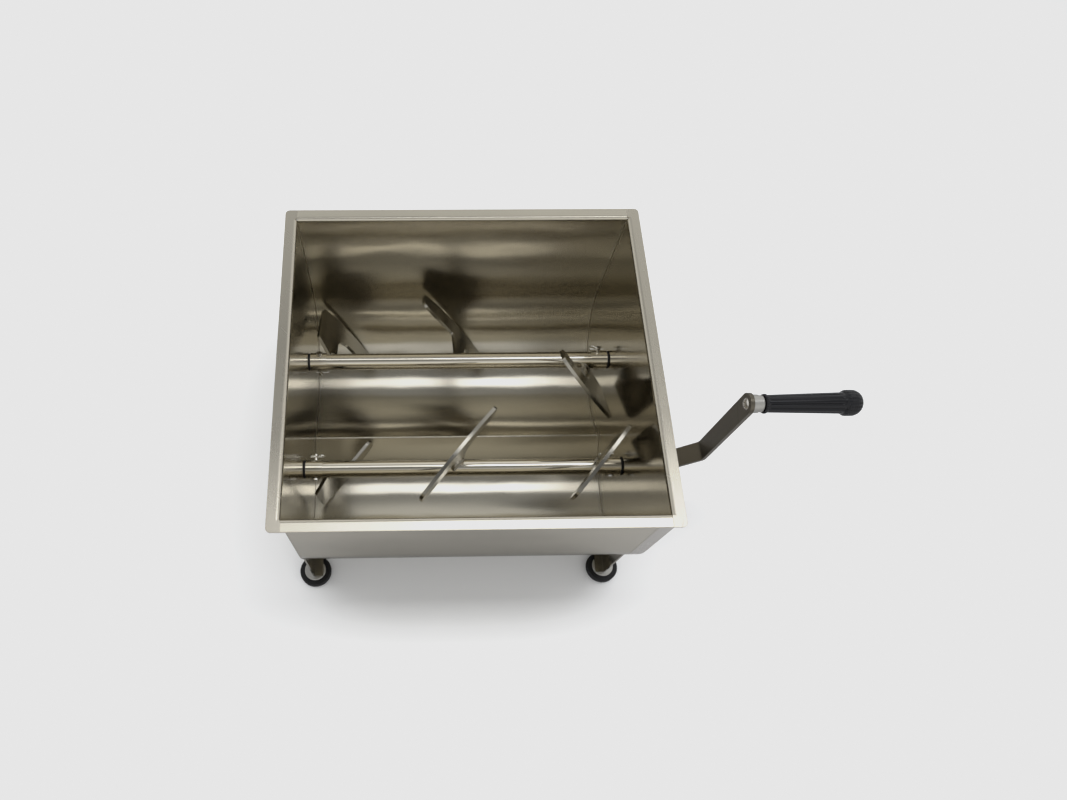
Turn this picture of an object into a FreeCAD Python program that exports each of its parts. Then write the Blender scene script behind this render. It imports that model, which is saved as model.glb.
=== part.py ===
import FreeCAD, Part
import math
import os

from FreeCAD import Matrix, Placement, Rotation, Vector

# Hand-cranked meat mixer: a stainless tub with two geared agitators, in millimetres.
# +X runs along the shafts towards the crank, +Y is the back, +Z is up and the floor is z = 0.
# The pieces are drawn with x = 0 midway between the end plates, and save() moves them so that
# the origin ends below the middle of the whole machine.

# Tub
inside_length = 375.0       # between the two end plates
trough_radius = 103.0       # of each of the two round bottoms, inside
shaft_spacing = 144.0       # between the two shafts, and the gears' pitch diameter
rim_above_shaft = 144.0
rim_height = 285.0          # above the floor
rim_width = 13.5            # of the flange, from the tub's inside faces
rim_corner = 5.0
trough_sheet = 1.5
end_sheet = 2.0
fold = 2.5                  # inside radius of every folded corner
ridge_fold = 2.0

# Legs and feet
leg_length = 34.0           # along Y, at the foot
leg_inset = 5.0             # how far the legs stand back from the tub's front and back
leg_slant = 19.5            # how far the slanting inner side of a leg reaches inwards
plate_skirt = 5.0           # how far the end plates reach below the round bottoms
leg_corner = 12.0
leg_tab = 10.5              # width of the tab that is folded inwards at the bottom of a leg
tab_fold = 1.0
tab_clear = 0.5             # from the tab's fold up to the slanting side of the leg
disc_radius = 13.5
disc_height = 3.0
disc_round = 1.2
foot_radius = 20.0
foot_height = 10.0
foot_round = 2.0            # rounding of the rubber's upper edge, and the chamfer of its lower one
foot_in_y = 13.5            # from the tub's outer face to the foot's middle
foot_screw = 5.0
foot_head = 10.0
foot_head_height = 3.0
foot_recess = 4.0           # depth of the hole for the screw's head, which is wider by foot_head_play
foot_head_play = 1.0

# Shafts and bearings
axle = 14.0                 # diameter of the stub axles
fit = 0.05                  # radial clearance of every axle, pin and bore
tube_diameter = 20.0
socket_diameter = 22.5
socket_length = 20.0
stub_depth = 23.0           # how far a stub axle reaches into the tub
bush_diameter = 17.0
bush_flange = 21.5
bush_lip = 1.2
boss_diameter = 34.0
outer_boss = 10.0           # length of the bearing bosses on the left end plate
inner_boss = 3.0            # and of those behind the gears
case_boss = 6.0             # and on the gear case
end_play = 0.5
stub_head = 24.0
stub_head_height = 5.0
stub_head_bevel = 1.0
ring_diameter = 20.0
ring_height = 1.2
ring_groove = 0.75          # depth of the retaining ring's groove
ring_to_end = 2.0           # from the ring to the end of its shaft

# Cross pins
pin_diameter = 5.0
pin_from_plate = 12.8
pin_head = 8.0
pin_head_height = 2.0
pin_tail = 7.0              # length of the pin past the socket
clip_wire = 1.8
clip_hole_in = 3.0          # from the pin's end to its clip hole
clip_tail = 6.3             # straight part of the clip before the pin
clip_nose = 7.0             # and past it, up to the loop
clip_swell = 1.15           # the loop's radius, as a share of the gap between leg and pin side
clip_flare = 40.0           # degrees by which the clip's tip leans away from the pin
clip_tip = 3.0

# Paddles
paddle_clearance = 6.0      # between a paddle and the round bottom
paddle_plate = 4.0
paddle_slant = 50.0         # degrees between a blade and its shaft
blade_half = 66.0
blade_cut = 34.0            # half length of an end paddle on the side of its end plate
blade_inner_tip = 56.0      # distance of a blade's inner edge from the shaft, at its tip
blade_inner_stem = 60.0     # and at its stem
blade_corner = 8.0
stem_near = 6.0             # a middle paddle's stem reaches this far to one side of its blade's middle
stem_far = 14.0             # and this far to the other, where an arch joins it to the blade
stem_near_round = 4.0
stem_far_round = 20.0
heel_height = 20.0          # from the shaft's axis up to the heel of an end paddle
heel_foot = 12.0            # from the blade's middle to where the heel's lower edge meets the axis
heel_stem = 1.0             # and to the other side of the stem
end_paddle_in = 32.5        # distance of the end paddles' middles from the end plates
front_station = -10.0       # place of each middle paddle along its shaft, from the tub's middle
back_station = -1.0
front_angle = -8.0          # degrees back from straight up, of the front shaft's middle paddle
back_angle = 120.0

# Gears
gear_teeth = 48
gear_width = 9.0
gear_gap = 1.5              # on both sides of the gears
tooth_root = 1.25           # depth of the teeth below the pitch circle, in modules
pressure_angle = 20.0
backlash = 0.25
key_size = 5.0

# Gear case
case_sheet = 1.5
case_below_rim = 38.0
case_fold = 3.0
standoff = 10.0
case_screw = 5.0
case_head = 9.0
case_head_height = 3.0
case_screw_in = 17.0        # from the case's upper corner to its screw, both ways
case_screw_up = 12.5        # from the case's lower edge up to the lower screws

# Crank
hub_diameter = 30.0
hub_length = 21.0
hub_bevel = 1.5
hub_screw = 6.0
hub_screw_sunk = 0.5
arm_width = 22.0
arm_plate = 4.0
arm_fold = 6.0
arm_offset = 32.0           # how far the arm steps outwards
arm_straight = 14.0         # from the shaft to the first fold
crank_radius = 170.0
shaft_thread = 10.0
nut_flats = 17.0
nut_height = 8.0
washer_diameter = 20.0
washer_height = 1.6
thread_past = 1.5

# Grip
ferrule_diameter = 18.5
ferrule_length = 12.0
ferrule_step = 6.5          # length of its wider part, next to the arm
ferrule_neck = 17.0
ferrule_round = 1.8
grip_start = 17.2           # diameters of the tapered grip
grip_end = 21.6
grip_collar = 19.6
grip_taper = 78.0
grip_collar_length = 3.0
grip_flutes = 12
flute_depth = 1.0
flute_width = 2.4
flute_end = 4.0             # from the flutes to the collar and to the knob
knob_diameter = 26.0
knob_length = 19.0
knob_nose = 10.0            # rounding of the knob's end
knob_shoulder = 4.0         # and of its side towards the taper
grip_bolt = 8.0
grip_head = 11.0
grip_head_height = 4.0
grip_head_play = 0.8        # around the bolt's head in its recess
grip_head_sunk = 3.0        # how far the head is sunk below the knob's end
grip_play = 0.3
rivet_head = 12.0
rivet_height = 2.4
rivet_dimple = 4.0          # diameter of the hollow in the riveted end
rivet_dimple_depth = 1.2

# Drawing
past = 1.0                  # how far a cutting shape runs past the face that it cuts

# Worked out from the sizes above
half_length = inside_length / 2
half_depth = shaft_spacing / 2 + trough_radius
shaft_z = rim_height - rim_above_shaft
front_y = -shaft_spacing / 2
back_y = shaft_spacing / 2
outer_depth = half_depth + trough_sheet
plate_out = half_length + end_sheet
rim_x = half_length + rim_width
rim_y = half_depth + rim_width
leg_z = foot_height + disc_height
lip_x = half_length - bush_lip
socket_x = lip_x - end_play
gear_x = plate_out + inner_boss + gear_gap
case_in = gear_x + gear_width + gear_gap
case_out = case_in + case_sheet
case_lip_x = case_out + case_boss
hub_x = case_lip_x + bush_lip + end_play
arm_x = hub_x + hub_length
arm_top_x = arm_x + arm_offset
ferrule_x = arm_top_x + arm_plate
grip_x = ferrule_x + ferrule_length + grip_play
grip_z = shaft_z + crank_radius
grip_length = grip_taper + knob_length
grip_tip_x = grip_x + grip_length
head_seat = grip_tip_x - grip_head_sunk - grip_head_height
paddle_radius = trough_radius - paddle_clearance
end_station = half_length - end_paddle_in
boss_tip_x = plate_out + outer_boss
head_x = boss_tip_x + end_play
ring_x = case_lip_x + bush_lip + end_play
leg_front = outer_depth - leg_inset
leg_back = leg_front - leg_length
leg_arch_half = leg_back - leg_slant
slant_z = leg_z + end_sheet + tab_fold + tab_clear
arch_z = shaft_z - trough_radius - trough_sheet - plate_skirt
case_screw_low = trough_radius + trough_sheet - case_screw_up
recess_radius = grip_head / 2 + grip_head_play
nose_middle = knob_diameter / 2 - knob_nose
nose_cut = knob_nose - math.sqrt(knob_nose ** 2 - (recess_radius - nose_middle) ** 2)
middle_x = (grip_tip_x - nose_cut - half_length - foot_radius) / 2

SIDES = (("left", -1), ("right", 1))
SHAFTS = (("front", front_y), ("back", back_y))


def save(name, shape):
    """Moves a piece into the machine's frame and writes it."""
    piece = shape.copy()
    piece.translate(Vector(-middle_x, 0, 0))
    piece.exportStep("parts/" + name + ".step")


def box(x0, x1, y0, y1, z0, z1):
    corner = Vector(min(x0, x1), min(y0, y1), min(z0, z1))
    return Part.makeBox(abs(x1 - x0), abs(y1 - y0), abs(z1 - z0), corner)


def rod(x0, x1, y, z, diameter):
    """Cylinder along X."""
    start = min(x0, x1)
    return Part.makeCylinder(diameter / 2, abs(x1 - x0), Vector(start, y, z), Vector(1, 0, 0))


def post(x, y, z0, z1, diameter):
    """Cylinder along Z."""
    return Part.makeCylinder(diameter / 2, z1 - z0, Vector(x, y, z0), Vector(0, 0, 1))


def hexagon(x0, x1, y, z, flats):
    """Hexagonal prism along X, with two corners up and down and rounded-off ends."""
    reach = flats / 2 / math.cos(math.pi / 6)
    corners = []
    for i in range(7):
        turn = i * math.pi / 3
        corners.append(Vector(x0, y + reach * math.sin(turn), z + reach * math.cos(turn)))
    prism = Part.Face(Part.makePolygon(corners)).extrude(Vector(x1 - x0, 0, 0))
    bevel = (reach - flats / 2) / 2
    length = x1 - x0 + 2 * bevel
    narrow = flats / 2
    cone_out = Part.makeCone(narrow, narrow + length, length, Vector(x0 - bevel, y, z), Vector(1, 0, 0))
    cone_in = Part.makeCone(narrow, narrow + length, length, Vector(x1 + bevel, y, z), Vector(-1, 0, 0))
    return prism.common(cone_out).common(cone_in)


def polygon_yz(points, x0, x1):
    """Solid with the outline of (y, z) points, from x0 to x1."""
    corners = [Vector(x0, y, z) for y, z in points]
    corners.append(corners[0])
    return Part.Face(Part.makePolygon(corners)).extrude(Vector(x1 - x0, 0, 0))


def edges_along(shape, direction, test):
    """Straight edges along a direction whose middle passes the test."""
    found = []
    for edge in shape.Edges:
        start = edge.Vertexes[0].Point
        end = edge.Vertexes[-1].Point
        if start.distanceToPoint(end) < 1e-6:
            continue
        along = (end - start).normalize()
        if abs(along.dot(direction)) > 0.999 and test((start + end) * 0.5):
            found.append(edge)
    return found


def rims(shape, axis, place):
    """Edges that lie flat across the X or Z axis at one place along it."""
    found = []
    for edge in shape.Edges:
        bounds = edge.BoundBox
        ends = (bounds.XMin, bounds.XMax) if axis == "X" else (bounds.ZMin, bounds.ZMax)
        if near(ends[0], place) and near(ends[1], place):
            found.append(edge)
    return found


def near(value, target):
    return abs(value - target) < 0.01


# The tub

def tub_section(radius, depth, top, x0, x1):
    """Two round bottoms side by side with straight walls above them."""
    shape = box(x0, x1, -depth, depth, shaft_z, top)
    for _, y in SHAFTS:
        shape = shape.fuse(rod(x0, x1, y, shaft_z, 2 * radius))
    return shape.removeSplitter()


def trough():
    """One sheet folded into the front rim, the two round bottoms and the back rim."""
    end = half_length
    under = rim_height - trough_sheet
    outside = tub_section(trough_radius + trough_sheet, outer_depth, rim_height, -end, end)
    flange = box(-end, end, -rim_y, rim_y, under, rim_height)
    inside = tub_section(trough_radius, half_depth, rim_height + past, -end - past, end + past)
    sheet = outside.fuse(flange).cut(inside).removeSplitter()
    along = Vector(1, 0, 0)
    inner = edges_along(sheet, along, lambda p: near(abs(p.y), half_depth) and near(p.z, rim_height))
    sheet = sheet.makeFillet(fold + trough_sheet, inner)
    outer = edges_along(sheet, along, lambda p: near(abs(p.y), outer_depth) and near(p.z, under))
    sheet = sheet.makeFillet(fold, outer)
    ridge_z = shaft_z - math.sqrt(trough_radius ** 2 - front_y ** 2)
    ridge = edges_along(sheet, along, lambda p: near(p.y, 0) and near(p.z, ridge_z))
    return sheet.makeFillet(ridge_fold, ridge)


def leg_outline():
    """The (y, z) outline of an end plate below its shafts: two legs with an arch between them."""
    return (
        (-leg_front, shaft_z),
        (-leg_front, leg_z),
        (-leg_back, leg_z),
        (-leg_back, slant_z),
        (-leg_arch_half, arch_z),
        (leg_arch_half, arch_z),
        (leg_back, slant_z),
        (leg_back, leg_z),
        (leg_front, leg_z),
        (leg_front, shaft_z),
    )


def bare_end_plate():
    """Right-hand end wall with its outward rim flange, its legs and their folded tabs."""
    under = rim_height - end_sheet
    radius = trough_radius + trough_sheet
    plate = tub_section(radius, outer_depth, rim_height, half_length, plate_out)
    plate = plate.fuse(polygon_yz(leg_outline(), half_length, plate_out))
    plate = plate.fuse(box(half_length, rim_x, -outer_depth, outer_depth, under, rim_height))
    for y_side in (-1, 1):
        y_front = y_side * leg_front
        y_back = y_side * leg_back
        tab = box(half_length - leg_tab, plate_out, y_front, y_back, leg_z, leg_z + end_sheet)
        plate = plate.fuse(tab)
    plate = plate.removeSplitter()
    folds = (
        (half_length, rim_height, fold + end_sheet),
        (plate_out, under, fold),
        (plate_out, leg_z, tab_fold + end_sheet),
        (half_length, leg_z + end_sheet, tab_fold),
    )
    for x, z, radius in folds:
        bend = edges_along(plate, Vector(0, 1, 0), lambda p: near(p.x, x) and near(p.z, z))
        plate = plate.makeFillet(radius, bend)
    along = Vector(1, 0, 0)
    bends = edges_along(plate, along, lambda p: near(abs(p.y), leg_arch_half) and near(p.z, arch_z))
    return plate.makeFillet(leg_corner, bends)


def end_plate(side, boss_length):
    """End wall with the corners of its rim and the bosses of its bearings."""
    plate = bare_end_plate()
    up = Vector(0, 0, 1)
    low = rim_height - trough_sheet
    for y_side in (-1, 1):
        y_tip = y_side * rim_y
        corner = box(half_length, rim_x, y_side * outer_depth, y_tip, low, rim_height)
        tip = edges_along(corner, up, lambda p: near(p.y, y_tip) and near(p.x, rim_x))
        plate = plate.fuse(corner.makeFillet(rim_corner, tip))
    boss_end = plate_out + boss_length
    for _, y in SHAFTS:
        plate = plate.fuse(rod(half_length, boss_end, y, shaft_z, boss_diameter))
        plate = plate.cut(rod(half_length - past, boss_end + past, y, shaft_z, bush_diameter))
    if side < 0:
        plate = plate.mirror(Vector(0, 0, 0), Vector(1, 0, 0))
    return plate.removeSplitter()


def case_screw_places():
    """The (y, z) places of the gear case's screws and standoffs."""
    high = rim_height - case_below_rim - case_screw_in
    low = shaft_z - case_screw_low
    side = outer_depth - case_screw_in
    return ((-side, high), (side, high), (front_y, low), (back_y, low))


def gear_case():
    """Shallow pressed cover with the tub's outline and two bearing bosses."""
    top = rim_height - case_below_rim
    outside = case_body(0, top, plate_out, case_out)
    outside = outside.makeFillet(case_fold, rims(outside, "X", case_out))
    shell = outside.cut(case_body(case_sheet, top - case_sheet, plate_out - past, case_in))
    for _, y in SHAFTS:
        shell = shell.fuse(rod(case_in, case_lip_x, y, shaft_z, boss_diameter))
        shell = shell.cut(rod(case_in - past, case_lip_x + past, y, shaft_z, bush_diameter))
    for y, z in case_screw_places():
        shell = shell.cut(rod(case_in - past, case_out + past, y, z, case_screw + 2 * fit))
    return shell.removeSplitter()


def case_body(inset, top, x0, x1):
    """The case's outline moved inwards: round at both ends below, straight between them."""
    radius = trough_radius + trough_sheet - inset
    depth = outer_depth - inset
    shape = box(x0, x1, -depth, depth, shaft_z, top)
    shape = shape.fuse(box(x0, x1, front_y, back_y, shaft_z - radius, shaft_z))
    for _, y in SHAFTS:
        shape = shape.fuse(rod(x0, x1, y, shaft_z, 2 * radius))
    return shape.removeSplitter()


# Feet

def foot_places():
    """Name and (x, y) of each foot, under the corners of the end plates."""
    places = []
    for x_name, x_side in SIDES:
        for y_name, y_side in (("front", -1), ("back", 1)):
            x = x_side * half_length
            y = y_side * (outer_depth - foot_in_y)
            places.append((y_name + "_" + x_name, x, y))
    return places


def foot_disc(x, y):
    disc = post(x, y, foot_height, leg_z, 2 * disc_radius)
    disc = disc.makeFillet(disc_round, rims(disc, "Z", leg_z))
    return disc.cut(post(x, y, foot_height - past, leg_z + past, foot_screw))


def rubber_foot(x, y):
    foot = post(x, y, 0, foot_height, 2 * foot_radius)
    foot = foot.makeFillet(foot_round, rims(foot, "Z", foot_height))
    foot = foot.makeChamfer(foot_round, rims(foot, "Z", 0))
    foot = foot.cut(post(x, y, -past, foot_recess, foot_head + foot_head_play))
    return foot.cut(post(x, y, 0, foot_height + past, foot_screw + 2 * fit))


def foot_bolt(x, y):
    head = post(x, y, foot_recess - foot_head_height, foot_recess, foot_head)
    return head.fuse(post(x, y, foot_recess, leg_z, foot_screw))


# Shafts, bearings and pins

def radial(angle):
    """Unit vector across the shafts, so many degrees back from straight up."""
    turn = math.radians(angle)
    return Vector(0, math.sin(turn), math.cos(turn))


def pin_direction(name):
    """A cross pin goes through at right angles to the paddles of its shaft."""
    if name == "front":
        return radial(front_angle + 90)
    return radial(back_angle - 90)


def cross_hole(name, y, side):
    """The hole that a cross pin needs."""
    x = side * (half_length - pin_from_plate)
    along = pin_direction(name)
    start = Vector(x, y, shaft_z) - along * socket_diameter
    return Part.makeCylinder(pin_diameter / 2 + fit, 2 * socket_diameter, start, along)


def tube_outside(y):
    """Tube of an agitator before it is bored, with a thicker socket at each end."""
    tube = rod(-socket_x, socket_x, y, shaft_z, tube_diameter)
    for _, side in SIDES:
        socket = rod(side * (socket_x - socket_length), side * socket_x, y, shaft_z, socket_diameter)
        tube = tube.fuse(socket)
    return tube.removeSplitter()


def shaft_tube(name, y):
    """The tube, bored for its stub axles and their cross pins."""
    tube = tube_outside(y)
    tube = tube.cut(rod(-socket_x - past, socket_x + past, y, shaft_z, axle + 2 * fit))
    for _, side in SIDES:
        tube = tube.cut(cross_hole(name, y, side))
    return tube.removeSplitter()


def gear_key(y):
    """Square key half sunk into the top of a geared shaft and half into its gear."""
    half = key_size / 2
    top = shaft_z + axle / 2
    return box(gear_x, gear_x + gear_width, y - half, y + half, top - half, top + half)


def geared_axle(name, y):
    """Stub axle from inside its socket through the end plate and the gear to the case's boss."""
    start = half_length - stub_depth
    if name == "front":
        shaft = rod(start, arm_x, y, shaft_z, axle)
        thread_end = arm_x + arm_plate + washer_height + nut_height + thread_past
        shaft = shaft.fuse(rod(arm_x, thread_end, y, shaft_z, shaft_thread))
    else:
        shaft = rod(start, ring_x + ring_height + ring_to_end, y, shaft_z, axle)
        shaft = shaft.cut(retaining_ring(y))
    shaft = shaft.cut(gear_key(y))
    return shaft.cut(cross_hole(name, y, 1))


def retaining_ring(y):
    """Ring that sits in a groove of the back shaft, outside its last bush."""
    ring = rod(ring_x, ring_x + ring_height, y, shaft_z, ring_diameter)
    return ring.cut(rod(ring_x - past, ring_x + ring_height + past, y, shaft_z, axle - 2 * ring_groove))


def headed_axle(name, y):
    """Left-hand stub axle, pushed in from outside up to its head."""
    shank = rod(-head_x, -half_length + stub_depth, y, shaft_z, axle)
    head = rod(-head_x - stub_head_height, -head_x, y, shaft_z, stub_head)
    head = head.makeChamfer(stub_head_bevel, rims(head, "X", -head_x - stub_head_height))
    return shank.fuse(head).cut(cross_hole(name, y, -1))


def bush(y, lip_start, lip_end, body_end):
    """Flanged plain bearing: a lip, then a sleeve in the boss."""
    body = rod(lip_end, body_end, y, shaft_z, bush_diameter)
    body = body.fuse(rod(lip_start, lip_end, y, shaft_z, bush_flange))
    low = min(lip_start, body_end) - past
    high = max(lip_start, body_end) + past
    return body.cut(rod(low, high, y, shaft_z, axle + 2 * fit)).removeSplitter()


def pin_frame(name, y, side, flip):
    """Middle of a cross pin and the direction from its head to its clip."""
    along = pin_direction(name) * flip
    return Vector(side * (half_length - pin_from_plate), y, shaft_z), along


def cross_pin(name, y, side, flip):
    """Headed pin through socket and stub axle, with a cross hole for its clip."""
    middle, along = pin_frame(name, y, side, flip)
    seat = socket_diameter / 2
    head_start = middle - along * (seat + pin_head_height)
    head = Part.makeCylinder(pin_head / 2, pin_head_height, head_start, along)
    shank = Part.makeCylinder(pin_diameter / 2, 2 * seat + pin_tail, middle - along * seat, along)
    hole_start = middle + along * (seat + pin_tail - clip_hole_in) - Vector(pin_diameter, 0, 0)
    hole = Part.makeCylinder(clip_wire / 2, 2 * pin_diameter, hole_start, Vector(1, 0, 0))
    return head.fuse(shank).cut(hole)


def bent_wire(start, heading, axis, radius, degrees):
    """Wire bent to the left about an axis: the solid, its end and the direction it ends in."""
    centre = start + axis.cross(heading) * radius
    ring = Part.makeCircle(clip_wire / 2, start, heading)
    wire = Part.Face(Part.Wire([ring])).revolve(centre, axis, degrees)
    turn = Rotation(axis, degrees)
    return wire, centre + turn.multVec(start - centre), turn.multVec(heading)


def spring_clip(name, y, side, flip):
    """Wire clip: a straight leg through the pin, a loop, and a leg that dips against its side."""
    middle, along = pin_frame(name, y, side, flip)
    inwards = Vector(-side, 0, 0)
    turning = along * -1
    centre = middle + along * (socket_diameter / 2 + pin_tail - clip_hole_in)
    gap = pin_diameter / 2 + clip_wire / 2
    bow = gap * clip_swell
    # The dip's radius makes it touch the loop's circle, with its lowest place against the pin.
    dip = (clip_nose ** 2 + gap ** 2 - 2 * gap * bow) / (2 * (2 * bow - gap))
    lean = math.degrees(math.atan2(gap + dip - bow, clip_nose))
    length = clip_tail + clip_nose
    clip = Part.makeCylinder(clip_wire / 2, length, centre - inwards * clip_tail, inwards)
    loop, place, heading = bent_wire(centre + inwards * clip_nose, inwards, turning, bow, 270 - lean)
    clip = clip.fuse(loop)
    hollow, place, heading = bent_wire(place, heading, turning * -1, dip, 90 + clip_flare - lean)
    clip = clip.fuse(hollow)
    return clip.fuse(Part.makeCylinder(clip_wire / 2, clip_tip, place, heading))


# Gears

def involute(angle):
    return math.tan(angle) - angle


def gear(y, first_tooth):
    """Spur gear whose first tooth, or gap, points along +Y by the given share of a pitch."""
    pitch = shaft_spacing / 2
    module = shaft_spacing / gear_teeth
    base = pitch * math.cos(math.radians(pressure_angle))
    tip = pitch + module
    root = pitch - tooth_root * module
    at_pitch = math.pi / 2 / gear_teeth - backlash / 2 / pitch + involute(math.radians(pressure_angle))
    flank = []
    for i in range(4):
        radius = root + (tip - root) * i / 3
        flank.append((radius, at_pitch - involute(math.acos(base / radius))))
    corners = []
    for tooth in range(gear_teeth):
        turn = (tooth + first_tooth) * 2 * math.pi / gear_teeth
        for radius, half in flank:
            corners.append((radius, turn - half))
        for radius, half in reversed(flank):
            corners.append((radius, turn + half))
    points = []
    for radius, turn in corners:
        points.append((y + radius * math.cos(turn), shaft_z + radius * math.sin(turn)))
    wheel = polygon_yz(points, gear_x, gear_x + gear_width)
    wheel = wheel.cut(rod(gear_x - past, gear_x + gear_width + past, y, shaft_z, axle))
    return wheel.cut(gear_key(y))


# Paddles

def middle_outline():
    """Flat outline of a middle paddle, and the rounding of each side of its stem's top."""
    corners = (
        (-blade_half, trough_radius),
        (-blade_half, blade_inner_tip),
        (-stem_near, blade_inner_stem),
        (-stem_near, 0),
        (stem_far, 0),
        (stem_far, blade_inner_stem),
        (blade_half, blade_inner_tip),
        (blade_half, trough_radius),
    )
    return corners, ((-stem_near, stem_near_round), (stem_far, stem_far_round))


def end_outline():
    """The same for an end paddle, whose stem is as wide as the side towards its end plate."""
    corners = (
        (-blade_cut, trough_radius),
        (-blade_cut, heel_height),
        (-heel_foot, 0),
        (-heel_stem, 0),
        (-heel_stem, blade_inner_stem),
        (blade_half, blade_inner_tip),
        (blade_half, trough_radius),
    )
    return corners, ((-heel_stem, stem_far_round),)


def flat_paddle(outline, stem_rounds):
    """Plate with a curved outer edge that fits the round bottom once it is slanted."""
    low = -paddle_plate / 2
    up = Vector(0, 0, 1)
    points = [Vector(x, y, low) for x, y in outline]
    points.append(points[0])
    plate = Part.Face(Part.makePolygon(points)).extrude(up * paddle_plate)
    reach = paddle_radius / math.sin(math.radians(paddle_slant))
    oval = Part.Ellipse(Vector(0, 0, low), reach, paddle_radius).toShape()
    plate = plate.common(Part.Face(Part.Wire([oval])).extrude(up * paddle_plate))
    ends = (outline[0][0], outline[-1][0])
    tips = edges_along(plate, up, lambda p: near(p.x, ends[0]) or near(p.x, ends[1]))
    plate = plate.makeFillet(blade_corner, tips)
    for x, radius in stem_rounds:
        top = edges_along(plate, up, lambda p: near(p.x, x) and near(p.y, blade_inner_stem))
        plate = plate.makeFillet(radius, top)
    return plate


def paddle(shaft_y, station, angle, hand, flat):
    """
    Slanted blade and stem, cut from one plate. The flat plate, with x away from the nearer end
    plate along the blade and y away from the shaft, is stood on its shaft.
    station: distance along the shaft from the middle. hand: which way the blade slants.
    """
    slant = math.radians(paddle_slant)
    out = radial(angle)
    around = radial(angle + 90)
    inwards = Vector(math.cos(slant), 0, 0) + around * (hand * math.sin(slant))
    if station > 0:
        inwards = inwards * -1
    face = inwards.cross(out)
    frame = Matrix()
    frame.A11, frame.A21, frame.A31 = inwards.x, inwards.y, inwards.z
    frame.A12, frame.A22, frame.A32 = out.x, out.y, out.z
    frame.A13, frame.A23, frame.A33 = face.x, face.y, face.z
    frame.A14, frame.A24, frame.A34 = station, shaft_y, shaft_z
    plate = flat.copy()
    plate.Placement = Placement(frame).multiply(plate.Placement)
    return plate.cut(tube_outside(shaft_y))


# Crank

def crank_arm():
    """Flat bar that rises from the hub, steps outwards and carries the grip at its rounded end."""
    low = shaft_z - arm_width / 2
    fold_1 = shaft_z + arm_straight
    fold_2 = fold_1 + arm_offset
    high = grip_z + arm_width / 2
    lean = arm_plate * math.tan(math.pi / 8)
    profile = [
        (arm_x, low),
        (arm_x, fold_1 + lean / 2),
        (arm_top_x, fold_2 + lean / 2),
        (arm_top_x, high),
        (arm_top_x + arm_plate, high),
        (arm_top_x + arm_plate, fold_2 - lean / 2),
        (arm_x + arm_plate, fold_1 - lean / 2),
        (arm_x + arm_plate, low),
    ]
    half = arm_width / 2
    points = [Vector(x, front_y - half, z) for x, z in profile]
    points.append(points[0])
    bar = Part.Face(Part.makePolygon(points)).extrude(Vector(0, arm_width, 0))
    folds = (
        (arm_x, fold_1 + lean / 2, arm_fold + arm_plate),
        (arm_x + arm_plate, fold_1 - lean / 2, arm_fold),
        (arm_top_x, fold_2 + lean / 2, arm_fold),
        (arm_top_x + arm_plate, fold_2 - lean / 2, arm_fold + arm_plate),
    )
    for x, z, radius in folds:
        bend = edges_along(bar, Vector(0, 1, 0), lambda p: near(p.x, x) and near(p.z, z))
        bar = bar.makeFillet(radius, bend)
    x0 = arm_x - past
    x1 = arm_top_x + arm_plate + past
    view = box(x0, x1, front_y - half, front_y + half, shaft_z, grip_z)
    view = view.fuse(rod(x0, x1, front_y, shaft_z, arm_width))
    view = view.fuse(rod(x0, x1, front_y, grip_z, arm_width))
    bar = bar.common(view)
    bar = bar.cut(rod(x0, x1, front_y, shaft_z, shaft_thread + 2 * fit))
    return bar.cut(rod(x0, x1, front_y, grip_z, grip_bolt))


def crank_hub():
    hub = rod(hub_x, arm_x, front_y, shaft_z, hub_diameter)
    hub = hub.makeChamfer(hub_bevel, rims(hub, "X", hub_x))
    hub = hub.cut(rod(hub_x - past, arm_x + past, front_y, shaft_z, axle + 2 * fit))
    middle = hub_x + hub_length / 2
    return hub.cut(post(middle, front_y, shaft_z, shaft_z + hub_diameter, hub_screw))


def hub_grub_screw():
    low = shaft_z + axle / 2 + fit
    high = shaft_z + hub_diameter / 2 - hub_screw_sunk
    return post(hub_x + hub_length / 2, front_y, low, high, hub_screw)


def crank_washer():
    x = arm_x + arm_plate
    washer = rod(x, x + washer_height, front_y, shaft_z, washer_diameter)
    return washer.cut(rod(x - past, x + washer_height + past, front_y, shaft_z, shaft_thread + 2 * fit))


def crank_nut():
    x = arm_x + arm_plate + washer_height
    nut = hexagon(x, x + nut_height, front_y, shaft_z, nut_flats)
    return nut.cut(rod(x - past, x + nut_height + past, front_y, shaft_z, shaft_thread))


# Grip

def grip_ferrule():
    """Turned spacer between the arm and the grip: a wide step, then a neck with a round edge."""
    end = ferrule_x + ferrule_length
    neck = rod(ferrule_x, end, front_y, grip_z, ferrule_neck)
    neck = neck.makeFillet(ferrule_round, rims(neck, "X", end))
    step = rod(ferrule_x, ferrule_x + ferrule_step, front_y, grip_z, ferrule_diameter)
    ferrule = neck.fuse(step).removeSplitter()
    return ferrule.cut(rod(ferrule_x - past, end + past, front_y, grip_z, grip_bolt))


def grip_cone(start, length):
    """The grip's taper, which reaches into the knob up to the end of the knob's shoulder."""
    foot = Vector(start, front_y, grip_z)
    return Part.makeCone(grip_start / 2, grip_end / 2, length, foot, Vector(1, 0, 0))


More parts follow.
